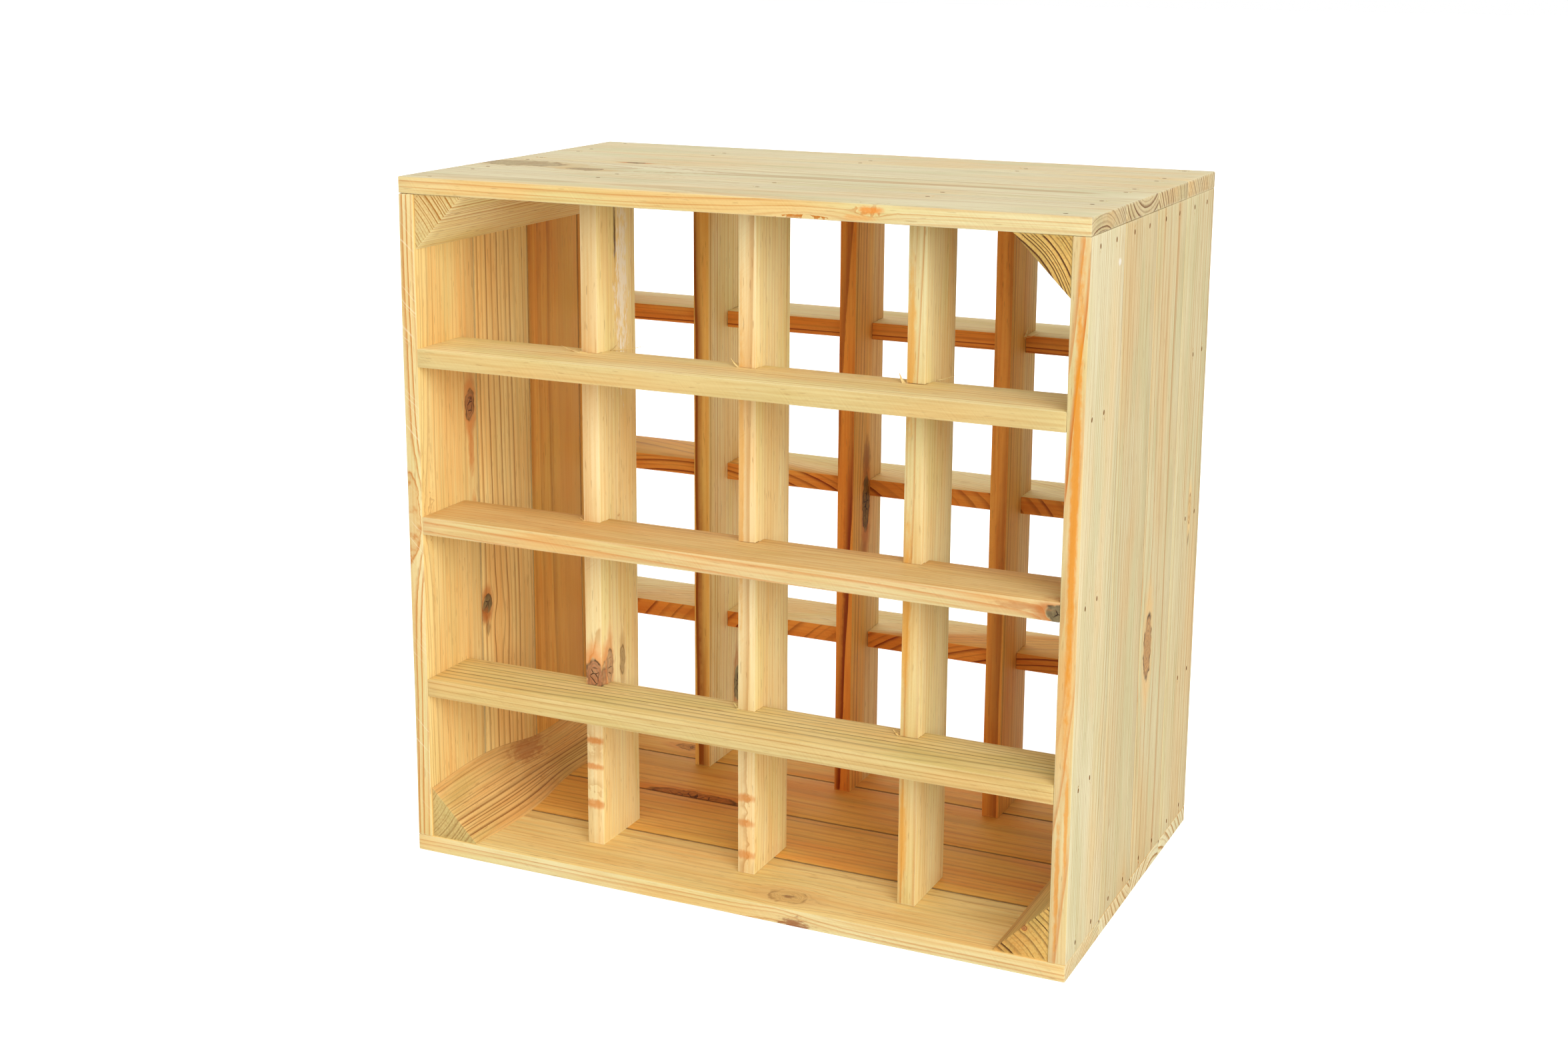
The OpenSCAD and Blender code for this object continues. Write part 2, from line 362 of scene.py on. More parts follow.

# %% [markdown]
# ## Stains
# A few marks have no shape of their own: white resin that dried beside a crack, an orange streak of pitch
# under a knot, a smudge. Each is a soft oval patch that breaks up along the grain. The same patch also
# paints shade: the dark lines in the grooves between the boards, and part of a reddish patch on the
# lower left corner block.

# %% The stain group
stain_group, ins, outs = new_group(
    "Stain",
    [("Position", "Vector"), ("Grain", "Vector"), ("Centre", "Vector"), ("Half Size", "Vector"),
     ("Breakup", "Float")],
    [("Mask", "Float")])
t = stain_group
away = arrows(t, "DIVIDE", arrows(t, "SUBTRACT", ins["Position"], ins["Centre"]), ins["Half Size"])
along = arrows(t, "DOT_PRODUCT", ins["Position"], ins["Grain"])
across = arrows(t, "SUBTRACT", ins["Position"], scaled(t, ins["Grain"], along))
short_way = arrows(t, "ADD", across, scaled(t, ins["Grain"], sums(t, "MULTIPLY", along, 0.3)))
torn = sums(t, "SUBTRACT", noise(t, short_way, 420, 3, 0.6), 0.5)
size = sums(t, "ADD", arrows(t, "LENGTH", away), times(t, torn, ins["Breakup"]))
put(t, outs["Mask"], spread(t, size, 0.35, 1.0, 1.0, 0.0))

# %% [markdown]
# ## The pine itself
# One function mixes a board's finish from those groups. A board is told where the pith of its log lay,
# how wide its rings are and which knots and stains it holds, and each one gets its own material, because
# no two boards of a crate come from the same log. Near the pith the wood turns from pale sapwood to
# orange heartwood, so a slat can be rust coloured in front and pale at the back. The deep orange of the
# rear slats' front edges is partly that heartwood and partly painted shade from inside the rack. The
# inner faces of the left and bottom panels are brighter and warmer than their outer faces. That is partly
# their own colour and partly painted light that offsets the shade inside the rack.

# %% Colours of pine
# Each palette has the early wood, the late wood and the two tints that cloud it, a warm and a cool one.
PALETTES = {
    "cream": ("#dcd2ac", "#ad8040", "#dfc490", "#cfc99e"),
    "sand": ("#cfc298", "#b17d40", "#d2b27c", "#c5bd90"),
    "pearl": ("#ecdaa8", "#b8803a", "#ecc484", "#e4d29c"),
    "wheat": ("#e0d29e", "#c2751f", "#e4bb70", "#d9ca8a"),
    "straw": ("#dcc893", "#c9782a", "#e2ae64", "#d6c486"),
    "butter": ("#d6c084", "#a8742e", "#dcb470", "#d2bd7c"),
    "fuzz": ("#cbb272", "#a98a50", "#c6a262", "#b9a868"),
    "reed": ("#efdb9a", "#74501f", "#ecca80", "#e0d088"),
    "lemon": ("#f9ecb6", "#bf7c2e", "#f3cf88", "#efe19c"),
    "gold": ("#f5dc96", "#965b1c", "#efbe70", "#e9d088"),
    "honey": ("#e9cc8c", "#a4662a", "#e4ab62", "#dcbc78"),
    "amber": ("#efbe64", "#924e14", "#e59f46", "#e2b960"),
    "rust": ("#ec9a40", "#8e3c0c", "#d87a1e", "#e8a44a"),
    "ginger": ("#eda44c", "#92460e", "#dc8828", "#e8aa54"),
    "olive": ("#e8c878", "#4c2f0e", "#dda658", "#cdb468"),
    "bruise": ("#9a6a34", "#4a2a10", "#7c4c20", "#86602c"),
    "moss": ("#e6c17c", "#855224", "#dda960", "#ceb46c"),
}
END_BROWN = "#633d17"
# Each knot look has the knot's wood, its own rings, its core and the stain round it.
KNOT_LOOKS = {
    "brown": ("#a8552b", "#652c14", "#2c120a", "#da8338"),
    "grey": ("#a3814f", "#7a582e", "#7a5426", "#c8a468"),
    "black": ("#40301e", "#20160e", "#160d08", "#bb6826"),
    "ringed": ("#bd8446", "#74401c", "#3e1c0a", "#dcb478"),
    "pale": ("#d8b070", "#a06c34", "#8c5a2a", "#e0b878"),
}
AXES = {"X": (1, 0, 0), "Y": (0, 1, 0), "Z": (0, 0, 1)}
HEART_FADE = 5 * MM
END_CONTRAST = 1.5

# %% The pine material
def pine(name, grain, across, pith, box, ring_width=2.4, late_share=0.5, wander=6, ripple=0.6,
         palette="straw", contrast=0.8, edge=None, edge_contrast=0.9, end=None, outside=None,
         heart=None, knots=(), stains=(), lean=(0, 0, 0), scratched=0.0, rest=False):
    """A pine material. grain and across are axis letters. pith is a point in metres that the log's middle
    passed through, and box the piece's corners. Ring width, wander and ripple are in millimetres. heart is
    the radius of the heartwood in metres and its palette. edge and end are palettes for the narrow edges
    and the sawn ends. outside is a direction and the palette of the faces that look that way. It is plainer
    than the colours inside the rack, which are partly painted: painted shade on the rear slats' front edges,
    and painted light on the inner faces of the left and bottom panels. With rest the rings follow the shape
    that the piece had before it was bent. Each knot is (centre, branch, radius, stretch, reach, look,
    darkness), and each stain (centre, half size, colour, strength, breakup)."""
    made = bpy.data.materials.new(name)
    made.use_nodes = True
    t = made.node_tree
    shader = t.nodes["Principled BSDF"]
    place = t.nodes.new("ShaderNodeTexCoord").outputs["Object"]
    normal = t.nodes.new("ShaderNodeNewGeometry").outputs["Normal"]
    grain_way = (Vector(AXES[grain]) + Vector(lean)).normalized()
    flow, marks = place, []
    if rest:
        straight = t.nodes.new("ShaderNodeAttribute")
        straight.attribute_name = "rest"
        flow = straight.outputs["Vector"]
    for centre, branch, radius, stretch, reach, look, dark in knots:
        mark = use_group(t, knot_group, position=place, flow=flow, centre=centre, grain=AXES[grain],
                         branch=Vector(branch).normalized(), radius=radius, stretch=stretch, reach=reach)
        flow = mark["Flow"]
        if look:
            marks.append((mark, look, dark))
    ring = use_group(t, rings_group, position=flow, pith=pith, grain=grain_way, ring_width=ring_width * MM,
                     wander=wander * MM, ripple=ripple * MM, late_share=late_share)
    skin = use_group(t, surface_group, position=place, grain=AXES[grain], across=AXES[across], normal=normal,
                     low=box[0], high=box[1])
    tones = [tint(code) for code in PALETTES[palette]]
    changes = []
    if heart:
        ripe = spread(t, ring["Radius"], heart[0] - HEART_FADE, heart[0] + HEART_FADE, 1.0, 0.0)
        changes.append((ripe, heart[1]))
    if edge:
        changes.append((skin["Edge"], edge))
    if outside:
        changes.append((spread(t, arrows(t, "DOT_PRODUCT", normal, outside[0]), 0.4, 0.7), outside[1]))
    if end:
        changes.append((skin["End Grain"], end))
    for mask, other in changes:
        tones = [blend(t, mask, tone, tint(code)) for tone, code in zip(tones, PALETTES[other])]
    early, late, warm, cool = tones
    if not end:
        late = blend(t, times(t, skin["End Grain"], 0.7), late, tint(END_BROWN))
    cloud = spread(t, noise(t, ring["Stretched"], 22, 3), 0.38, 0.68)
    body = blend(t, times(t, cloud, 0.75), early, warm)
    haze = spread(t, noise(t, arrows(t, "ADD", ring["Stretched"], (3, 1, 2)), 40, 2), 0.45, 0.7)
    body = blend(t, times(t, haze, 0.7), body, cool)
    strength = spread(t, skin["Edge"], 0, 1, contrast, edge_contrast)
    strength = spread(t, skin["End Grain"], 0, 1, strength, END_CONTRAST)
    depth = times(t, ring["Late Wood"], strength)
    colour = blend(t, depth, body, late)
    streak = times(t, spread(t, skin["Streaks"], 0.38, 0.68), 0.34)
    colour = blend(t, streak, colour, warm, "MULTIPLY")
    colour = blend(t, times(t, skin["Ducts"], 0.34), colour, tint("#8f5d2e"))
    if not end:
        colour = blend(t, times(t, skin["End Grain"], 0.4), colour, tint("#d6b37c"), "MULTIPLY")
    if scratched:
        colour = blend(t, times(t, skin["Scratches"], scratched), colour, tint("#f4e9c6"))
    colour = blend(t, times(t, skin["Arris"], 0.4), colour, early)
    rough = sums(t, "SUBTRACT", 0.70, times(t, depth, 0.12))
    height = sums(t, "ADD", times(t, skin["Streaks"], 0.6), times(t, skin["Fine"], 0.4))
    height = sums(t, "ADD", height, times(t, depth, 0.4))
    height = sums(t, "ADD", height, times(t, skin["Saw Ribs"], 0.8))
    for mark, look, dark in marks:
        core, fine_ring, rim, glow = (tint(code) for code in KNOT_LOOKS[look])
        colour = blend(t, times(t, mark["Halo"], 0.75 * dark), colour, glow)
        brown = blend(t, times(t, mark["Rings"], 0.6), core, fine_ring)
        brown = blend(t, times(t, noise(t, place, 260, 3), 0.35), brown, body)
        colour = blend(t, times(t, mark["Core"], dark), colour, brown)
        colour = blend(t, times(t, mark["Rim"], 0.9 * dark), colour, rim)
        if look in ("brown", "black"):
            colour = blend(t, times(t, mark["Cracks"], dark), colour, tint("#2b170c"))
        rough = sums(t, "ADD", rough, times(t, mark["Core"], 0.1))
        height = sums(t, "SUBTRACT", height, times(t, sums(t, "ADD", mark["Rim"], mark["Cracks"]), 0.8))
    for centre, half_size, code, strength, breakup in stains:
        mask = use_group(t, stain_group, position=place, grain=AXES[grain], centre=centre,
                         half_size=half_size, breakup=breakup)["Mask"]
        colour = blend(t, times(t, mask, strength), colour, tint(code))
    put(t, shader.inputs["Base Color"], colour)
    put(t, shader.inputs["Roughness"], rough)
    shader.inputs["Specular IOR Level"].default_value = 0.2
    bump = t.nodes.new("ShaderNodeBump")
    bump.inputs["Strength"].default_value = 0.6
    bump.inputs["Distance"].default_value = 0.0004
    put(t, bump.inputs["Height"], height)
    put(t, shader.inputs["Normal"], bump.outputs["Normal"])
    return made

# %% [markdown]
# ## Shaping a piece of wood
# Each piece starts as a cube set to its size. It is sliced into short lengths, so that it has points to
# bend, its edges are eased by a narrow bevel, and a Displace modifier with soft clouds makes its faces
# waver by a fraction of a millimetre, as sawn wood does. Modifiers are applied, so the shape is real.

# %% Workshop helpers
clouds = bpy.data.textures.new("Soft clouds", "CLOUDS")
clouds.noise_scale = 0.09

def at(x, y, z):
    """A point given in millimetres from the middle of the rack's base."""
    return Vector((x, y, z)) * MM

def start_piece(name, low, high):
    """A box between two corners, alone in the selection, with its place in its mesh."""
    deselect()
    low, high = Vector(low), Vector(high)
    bpy.ops.mesh.primitive_cube_add(size=1, location=(low + high) / 2, scale=high - low)
    piece = bpy.context.object
    piece.name = piece.data.name = name
    bpy.ops.object.transform_apply(location=True, rotation=True, scale=True)
    return piece

def choose(piece):
    """Makes a piece the only selected and the active object."""
    deselect()
    piece.select_set(True)
    bpy.context.view_layer.objects.active = piece

def use_modifier(piece, kind, **settings):
    """Adds a modifier to a piece, sets it and applies it."""
    choose(piece)
    made = piece.modifiers.new(kind.title(), kind)
    for name, value in settings.items():
        setattr(made, name, value)
    bpy.ops.object.modifier_apply(modifier=made.name)

def join_all(pieces):
    """Joins pieces into the first one and returns it."""
    deselect()
    for piece in pieces:
        piece.select_set(True)
    bpy.context.view_layer.objects.active = pieces[0]
    if len(pieces) > 1:
        bpy.ops.object.join()
    return pieces[0]

def cut_out(piece, cutters):
    """Takes the shapes of the cutters out of a piece, all at once, and throws the cutters away."""
    if not cutters:
        return
    tool = join_all(cutters)
    use_modifier(piece, "BOOLEAN", operation="DIFFERENCE", solver="EXACT", object=tool)
    bpy.data.objects.remove(tool, do_unlink=True)

def slice_piece(piece, axis, count):
    """Cuts a piece across an axis into equal lengths that stay joined."""
    choose(piece)
    places = [v.co[axis] for v in piece.data.vertices]
    first, last = min(places), max(places)
    bpy.ops.object.mode_set(mode="EDIT")
    for i in range(1, count):
        point, normal = [0, 0, 0], [0, 0, 0]
        point[axis] = first + (last - first) * i / count
        normal[axis] = 1
        bpy.ops.mesh.select_all(action="SELECT")
        bpy.ops.mesh.bisect(plane_co=point, plane_no=normal)
    bpy.ops.object.mode_set(mode="OBJECT")

def select_where(piece, test):
    """Goes into edit mode with just those points selected whose place passes a test."""
    choose(piece)
    bpy.ops.object.mode_set(mode="EDIT")
    bpy.ops.mesh.select_mode(type="VERT")
    bpy.ops.mesh.select_all(action="DESELECT")
    bpy.ops.object.mode_set(mode="OBJECT")
    for v in piece.data.vertices:
        v.select = bool(test(v.co))
    bpy.ops.object.mode_set(mode="EDIT")

def ease_edges(piece, width=0.5 * MM, segments=2):
    """Takes the sharpness off a piece's edges with a narrow bevel."""
    use_modifier(piece, "BEVEL", width=width, segments=segments, limit_method="ANGLE",
                 angle_limit=math.radians(40))

def roughen(piece, strength=0.6 * MM):
    """Makes the faces of a piece waver."""
    use_modifier(piece, "DISPLACE", texture=clouds, texture_coords="LOCAL", strength=strength, mid_level=0.5)

def finish_piece(piece, node, slot, *finishes):
    """Smooths the eased edges, gives the piece its finishes and hands it to the frame."""
    choose(piece)
    bpy.ops.object.shade_smooth_by_angle(angle=math.radians(35))
    places = [face.material_index for face in piece.data.polygons]
    for finish in finishes:
        piece.data.materials.append(finish)
    piece.data.polygons.foreach_set("material_index", places)
    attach(piece, "root")
    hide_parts(node)

# %% [markdown]
# ## Splinters
# Rough-sawn pine is full of torn fibres: long slivers at the lap joints, and short flakes where a brad
# broke the surface. A sliver is a flat cone with few sides, bent a little, and it is joined to the piece
# that it was torn from.

# %% A splinter
def splinter(start, end, width, thickness, bend=20, up=(0, 0, 1)):
    """A tapered sliver from its root to its tip. It bends by some degrees, away from the surface."""
    start, end, up = Vector(start), Vector(end), Vector(up)
    length = (end - start).length
    deselect()
    bpy.ops.mesh.primitive_cone_add(vertices=6, radius1=width / 2, radius2=width / 16, depth=length)
    sliver = bpy.context.object
    sliver.name = "splinter"
    sliver.data.transform(Matrix.Translation((0, 0, length / 2)))
    sliver.data.transform(Matrix.Diagonal((1, thickness / width, 1, 1)))
    slice_piece(sliver, 2, 7)
    use_modifier(sliver, "SIMPLE_DEFORM", deform_method="BEND", deform_axis="X", angle=math.radians(bend))
    along = (end - start).normalized()
    side = along.cross(up).normalized()
    turn = Matrix((side, along.cross(side) * -1, along)).transposed().to_4x4()
    sliver.data.transform(Matrix.Translation(start) @ turn)
    choose(sliver)
    bpy.ops.object.mode_set(mode="EDIT")
    bpy.ops.mesh.select_all(action="SELECT")
    bpy.ops.mesh.normals_make_consistent(inside=False)
    bpy.ops.object.mode_set(mode="OBJECT")
    return sliver

# %% [markdown]
# ## Brad holes
# Each panel is nailed with headless brads, driven a millimetre below the surface. The brads are in the
# frame already. Here each one gets the oval pit above it, longer along the grain, with crushed brown
# fibres on its wall and now and then a pale flake that the driver tore loose.

# %% Where the brads are
PIT_WIDTH = 2.4 * MM
PIT_LENGTH = 3.6 * MM
PIT_DEPTH = 0.98 * MM

def islands(node):
    """The lowest and highest corners of each separate solid in a node."""
    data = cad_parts[node].data
    parent = list(range(len(data.vertices)))
    seen = {}
    for i, v in enumerate(data.vertices):
        parent[i] = seen.setdefault(tuple(round(c, 6) for c in v.co), i)
    def root(i):
        while parent[i] != i:
            parent[i] = parent[parent[i]]
            i = parent[i]
        return i
    for face in data.polygons:
        first = root(face.vertices[0])
        for i in face.vertices[1:]:
            parent[root(i)] = first
    boxes = {}
    for i, v in enumerate(data.vertices):
        boxes.setdefault(root(i), []).append(v.co.copy())
    return [(Vector(map(min, zip(*p))), Vector(map(max, zip(*p)))) for p in boxes.values()]

BRADS = {side: islands(side + "_brads") for side in ("top", "bottom", "left", "right")}
OUTWARD = {"top": Vector((0, 0, 1)), "bottom": Vector((0, 0, -1)),
           "left": Vector((-1, 0, 0)), "right": Vector((1, 0, 0))}
print("brads:", {side: len(found) for side, found in BRADS.items()})

def brad_places(node, side):
    """The points of a board's outer face that lie over the brads in it."""
    low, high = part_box(node)
    axis = 2 if side in ("top", "bottom") else 0
    outer = (high if sum(OUTWARD[side]) > 0 else low)[axis]
    places = [(brad_low + brad_high) / 2 for brad_low, brad_high in BRADS[side]]
    places = [p for p in places if low[1] < p[1] < high[1]]
    for place in places:
        place[axis] = outer
    return places

def bore_pits(board, node, side):
    """Bores the pits and returns their places."""
    out = OUTWARD[side]
    grain = Vector((1, 0, 0)) if side in ("top", "bottom") else Vector((0, 0, 1))
    places = brad_places(node, side)
    cutters = []
    for place in places:
        deselect()
        bpy.ops.mesh.primitive_cylinder_add(vertices=12, radius=PIT_WIDTH / 2, depth=2 * PIT_DEPTH)
        cutter = bpy.context.object
        cutter.data.transform(Matrix.Diagonal((PIT_LENGTH / PIT_WIDTH, 1, 1, 1)))
        turn = Matrix((grain, out.cross(grain), out)).transposed().to_4x4()
        cutter.data.transform(Matrix.Translation(place) @ turn)
        cutters.append(cutter)
    cut_out(board, cutters)
    return places

def mark_pits(board, places, side):
    """Gives the walls of the pits the board's second finish. Joining resets this, so it comes last. A
    height is in pit depths above the board's face, and a wall counts from nearer the face than a floor."""
    out = OUTWARD[side]
    for face in board.data.polygons:
        for place in places:
            offset = face.center - place
            height = offset.dot(out) / PIT_DEPTH
            steep = abs(face.normal.dot(out)) < 0.5
            inside = -1.3 < height < (-0.25 if steep else -0.6)
            if inside and (offset - out * offset.dot(out)).length < 0.6 * PIT_LENGTH:
                face.material_index = 1

def torn_flakes(places, side, rng):
    """Pale flakes at about half of the pits, flat against the board."""
    out = OUTWARD[side]
    grain = Vector((1, 0, 0)) if side in ("top", "bottom") else Vector((0, 0, 1))
    across = out.cross(grain)
    flakes = []
    for place in places:
        for _ in range(rng.choice((0, 1, 1, 2))):
            way = rng.choice((-1, 1))
            aside = across * rng.uniform(-0.7, 0.7) * MM
            root = place + grain * way * PIT_LENGTH * 0.45 + aside - out * 0.25 * MM
            run = grain * way * rng.uniform(2, 5) * MM
            tip = root + run + across * rng.uniform(-0.8, 0.8) * MM + out * 0.5 * MM
            flakes.append(splinter(root, tip, rng.uniform(0.7, 1.2) * MM, 0.45 * MM, 15, out))
    return flakes

# %% [markdown]
# ## The boards of the case
# Four boards lie side by side in each panel. The top and bottom boards run from left to right and the
# side boards stand up between them.

# %% Board knots and stains
def knot(x, y, z, branch, radius, stretch, reach, look, dark):
    """A knot: its place and radius in millimetres, the way its branch points, how much longer than wide
    it is, how deep it reaches, its look and how dark it is."""
    return (at(x, y, z), branch, radius * MM, stretch, reach * MM, look, dark)

def swell(x, y, z, branch, radius, stretch, reach):
    """A knot that stays below the surface and only bends the grain."""
    return (at(x, y, z), branch, radius * MM, stretch, reach * MM, None, 0)

def stain(x, y, z, size, colour, strength, breakup=1.2):
    """A stain: its place and half size in millimetres, its colour and strength, and how torn it is."""
    return (at(x, y, z), at(*size), colour, strength, breakup)

BOARD_KNOTS = {
    "top_board_1": [swell(106, -150, 497, (0, 1, 0), 4.5, 2.4, 12),
                    swell(60, -150, 486, (0, 1, 0), 5, 5, 12)],
    "top_board_2": [knot(-219, -34, 500, (0.1, 0, 1), 16, 2.1, 16, "grey", 0.72),
                    knot(-158, -50, 500, (0, 0, 1), 7, 2.0, 16, "grey", 0.85)],
    "top_board_3": [knot(-147, 6, 500, (0, 0, 1), 3.4, 2.2, 16, "black", 0.75)],
    "left_board_1": [knot(-238, -85, 326, (1, 0, 0), 6, 1.9, 14, "brown", 0.95),
                     swell(-249, -150, 256, (0, 1, 0), 9, 3.2, 16)],
    "left_board_2": [knot(-238, -68, 169, (1, 0, 0), 6.5, 1.1, 14, "black", 0.9),
                     swell(-238, -50, 150, (1, 0, 0), 5, 2.4, 14)],
    "right_board_3": [knot(250, 20, 179, (1, 0, 0), 9.5, 2.5, 16, "ringed", 0.95)],
    "right_board_4": [knot(250, 121, 255, (1, 0, 0), 3.4, 3.4, 16, "pale", 0.9)],
    "bottom_board_1": [knot(44, -131, 12, (0, 0.1, 1), 10, 1.35, 20, "pale", 0.6)],
    "bottom_board_3": [knot(-100, 3, 12, (0, 0, 1), 8, 4.6, 20, "brown", 0.85)],
    "bottom_board_4": [knot(-150, 96, 12, (0, 0, 1), 6, 2, 20, "brown", 0.6)],
}
PITCH = "#dc8c20"
BOARD_STAINS = {
    "left_board_1": [stain(-238, -84, 292, (4, 5, 24), "#d9802c", 0.6),
                     stain(-238, -82, 250, (4, 4, 14), "#dd8a36", 0.45)],
    "left_board_2": [stain(-238, -71, 160, (4, 9, 9), "#a85a1e", 0.55),
                     stain(-238, -67, 149, (4, 5, 7), "#5d3517", 0.5)],
    "left_board_3": [stain(-238, 56, 250, (4, 30, 420), "#dfae60", 0.5, 0.6)],
    "right_board_1": [stain(250, -87, 465, (5, 4, 3), "#f6f4f2", 0.5),
                      stain(245, -150, 320, (3.8, 3, 215), PITCH, 0.85, 0.9),
                      stain(242, -150, 66, (2.2, 3, 60), PITCH, 0.7, 1.2),
                      stain(247, -150, 112, (1.8, 3, 56), PITCH, 0.7, 1.2)],
    "top_board_1": [stain(106, -150, 496, (11, 3, 3.5), "#e0862c", 0.8),
                    stain(98, -150, 491, (16, 3, 2.5), "#e2933c", 0.5)],
    "right_board_4": [stain(250, 121, 233, (4, 2, 7), "#5d3a1e", 0.7)],
    "bottom_board_1": [stain(57, -150, 1, (15, 5, 7), "#8e4a26", 0.8, 2.5),
                       stain(44, -131, 12, (6, 3, 4), "#6e3020", 0.6, 2.5)],
}

def seam_shadow_lines(panel, low, high):
    """Painted shade: dark lines along the grooves between the boards, on the faces that look into the rack.
    """
    if panel not in ("left", "bottom"):
        return []
    middle = (low + high) / 2
    if panel == "bottom":
        inner, size = Vector((middle.x, 0, high.z)), at(800, 1.5, 5)
    else:
        inner, size = Vector((high.x, 0, middle.z)), at(5, 1.5, 800)
    sides = [y for y in (low.y, high.y) if abs(y) < 140 * MM]
    # How dark the painted seam shade is: darker on the bottom panel than on the left.
    seam_shade = 0.75 if panel == "bottom" else 0.35
    return [(inner + Vector((0, y, 0)), size, "#6b401b", seam_shade, 1.0) for y in sides]

# %% [markdown]
# The cut faces of a top or bottom board show where its pith lay. With the pith below it, the front edge
# has fine level lines and the end has arches. With the pith far to one side, the wide face has straight
# lines and the front edge has broad orange bands.

# %% All sixteen boards
LENGTHS = 36
SEED = 7
rng = random.Random(SEED)
BRUISED = {"palette": "bruise", "contrast": 0.9, "ring_width": 0.8}
# For each board: palette, ring width, late share, contrast, pith to the side, pith up or outward,
# lean to the side, lean up or outward. Sizes are in millimetres and leans in radians.
BOARD_LOOKS = {
    "top_board_1": ("cream", 2.7, 0.5, 0.75, -16, -52, 0.004, 0.004),
    "top_board_2": ("cream", 3.9, 0.50, 0.62, 8, 40, 0.012, 0.004),
    "top_board_3": ("cream", 4.4, 0.50, 0.50, -70, -34, -0.010, 0.004),
    "top_board_4": ("cream", 4.2, 0.50, 0.62, -90, -62, 0.008, 0.002),
    "bottom_board_1": ("gold", 3.0, 0.44, 0.42, 40, -70, 0.010, 0.003),
    "bottom_board_2": ("amber", 5.2, 0.45, 0.48, 62, 40, -0.006, 0.004),
    "bottom_board_3": ("amber", 5.0, 0.5, 0.36, 24, -46, 0.004, 0.004),
    "bottom_board_4": ("amber", 5.6, 0.5, 0.36, -50, -50, 0.006, 0.004),
    "left_board_1": ("gold", 3.0, 0.46, 0.38, 60, -70, 0.004, 0.004),
    "left_board_2": ("gold", 6.4, 0.40, 0.90, -100, 20, -0.010, 0.002),
    "left_board_3": ("amber", 6.6, 0.6, 0.40, 30, -70, 0.004, 0.006),
    "left_board_4": ("amber", 5.6, 0.6, 0.6, 46, -50, 0.004, 0.008),
    "right_board_1": ("cream", 3.6, 0.36, 0.80, -100, -30, 0.045, 0.004),
    "right_board_2": ("sand", 4.6, 0.32, 0.82, -80, 26, 0.004, 0.003),
    "right_board_3": ("sand", 5.4, 0.34, 0.80, 34, 52, -0.006, 0.002),
    "right_board_4": ("sand", 5.0, 0.36, 0.82, 74, 40, 0.006, 0.003),
}
EDGES = {"top": "wheat", "bottom": "wheat", "left": "wheat", "right": "straw"}
for node, (palette, ring, share, contrast, side, up, lean_side, lean_up) in BOARD_LOOKS.items():
    panel = node.split("_")[0]
    lying = panel in ("top", "bottom")
    low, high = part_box(node)
    board = start_piece(node + "_wood", low, high)
    ease_edges(board, 0.8 * MM)
    slice_piece(board, 0 if lying else 2, LENGTHS)
    slice_piece(board, 1, 5)
    roughen(board, 0.7 * MM)
    places = bore_pits(board, node, panel)
    board = join_all([board] + torn_flakes(places, panel, rng))
    mark_pits(board, places, panel)
    far = rng.uniform(-3, 3)
    offset, run = (at(0, side, up), Vector((far, 0, 0))) if lying else (at(up, side, 0), Vector((0, 0, far)))
    lean = (0, lean_side, lean_up) if lying else (lean_up, lean_side, 0)
    pith = (low + high) / 2 + offset + run + Vector(lean) * far
    look = dict(grain="X" if lying else "Z", across="Y", pith=pith, box=(low, high), lean=lean)
    finish = pine(node.replace("_", " "), ring_width=ring, late_share=share, palette=palette,
                  contrast=contrast, edge=EDGES[panel],
                  edge_contrast=0.9 if panel in ("left", "bottom") else 1.3,
                  end="cream" if panel == "bottom" else None,
                  # The outward faces of the left and bottom panels get plain sand. Their inner faces are
                  # brighter and warmer, partly their own colour and partly painted light that offsets the
                  # shade inside the rack.
                  outside=(OUTWARD[panel], "sand") if panel in ("left", "bottom") else None,
                  scratched=0.35 if node == "left_board_1" else 0.0, knots=BOARD_KNOTS.get(node, ()),
                  stains=list(BOARD_STAINS.get(node, ())) + seam_shadow_lines(panel, low, high), **look)
    bruise = pine(node.replace("_", " ") + " pits", **look, **BRUISED)
    finish_piece(board, node, "cap_pine" if lying else "side_pine", finish, bruise)
print("boards made:", len(BOARD_LOOKS))

# %% [markdown]
# ## The slats
# The lattices are cross-halved: where an upright meets a shelf, each has a notch half as deep as the
# overlap, so one slides into the other. The notches are cut with boxes, as a saw and chisel would.
# Nearly every slat was sawn with its rings edge-on to its wide faces, which gives fine straight lines
# there and broad orange bands on the narrow front edge.

# %% Slat knots and stains
SLAT_KNOTS = {
    "front_shelf_2": [knot(237, -150, 249, (0, 1, 0), 6, 1.4, 14, "black", 0.95)],
    "front_upright_1": [knot(-122, -109, 142, (0.3, 1, 0), 6.5, 1.9, 12, "brown", 0.95),
                        knot(-115, -97, 146, (1, 0, 0), 4.5, 3.0, 8, "brown", 0.75),
                        knot(-115, -78, 146, (1, 0, 0), 3.4, 3.2, 8, "grey", 0.9),
                        swell(-122, -112, 88, (1, 0, 0), 7, 1.2, 20),
                        swell(-122, -112, 50, (1, 0, 0), 7, 1.0, 20)],
    "front_upright_2": [swell(0, -112, 62, (1, 0, 0), 7, 1.4, 20),
                        swell(0, -112, 30, (1, 0, 0), 6, 1.2, 20)],
    "rear_upright_2": [knot(6, 88, 240, (1, 0, 0), 6.5, 3.4, 9, "black", 0.95)],
    "rear_upright_1": [knot(-116, 114, 68, (1, 0, 0), 6, 2.6, 9, "black", 0.8)],
}
STREAK, BAND = "#e0a040", "#cf7c2c"
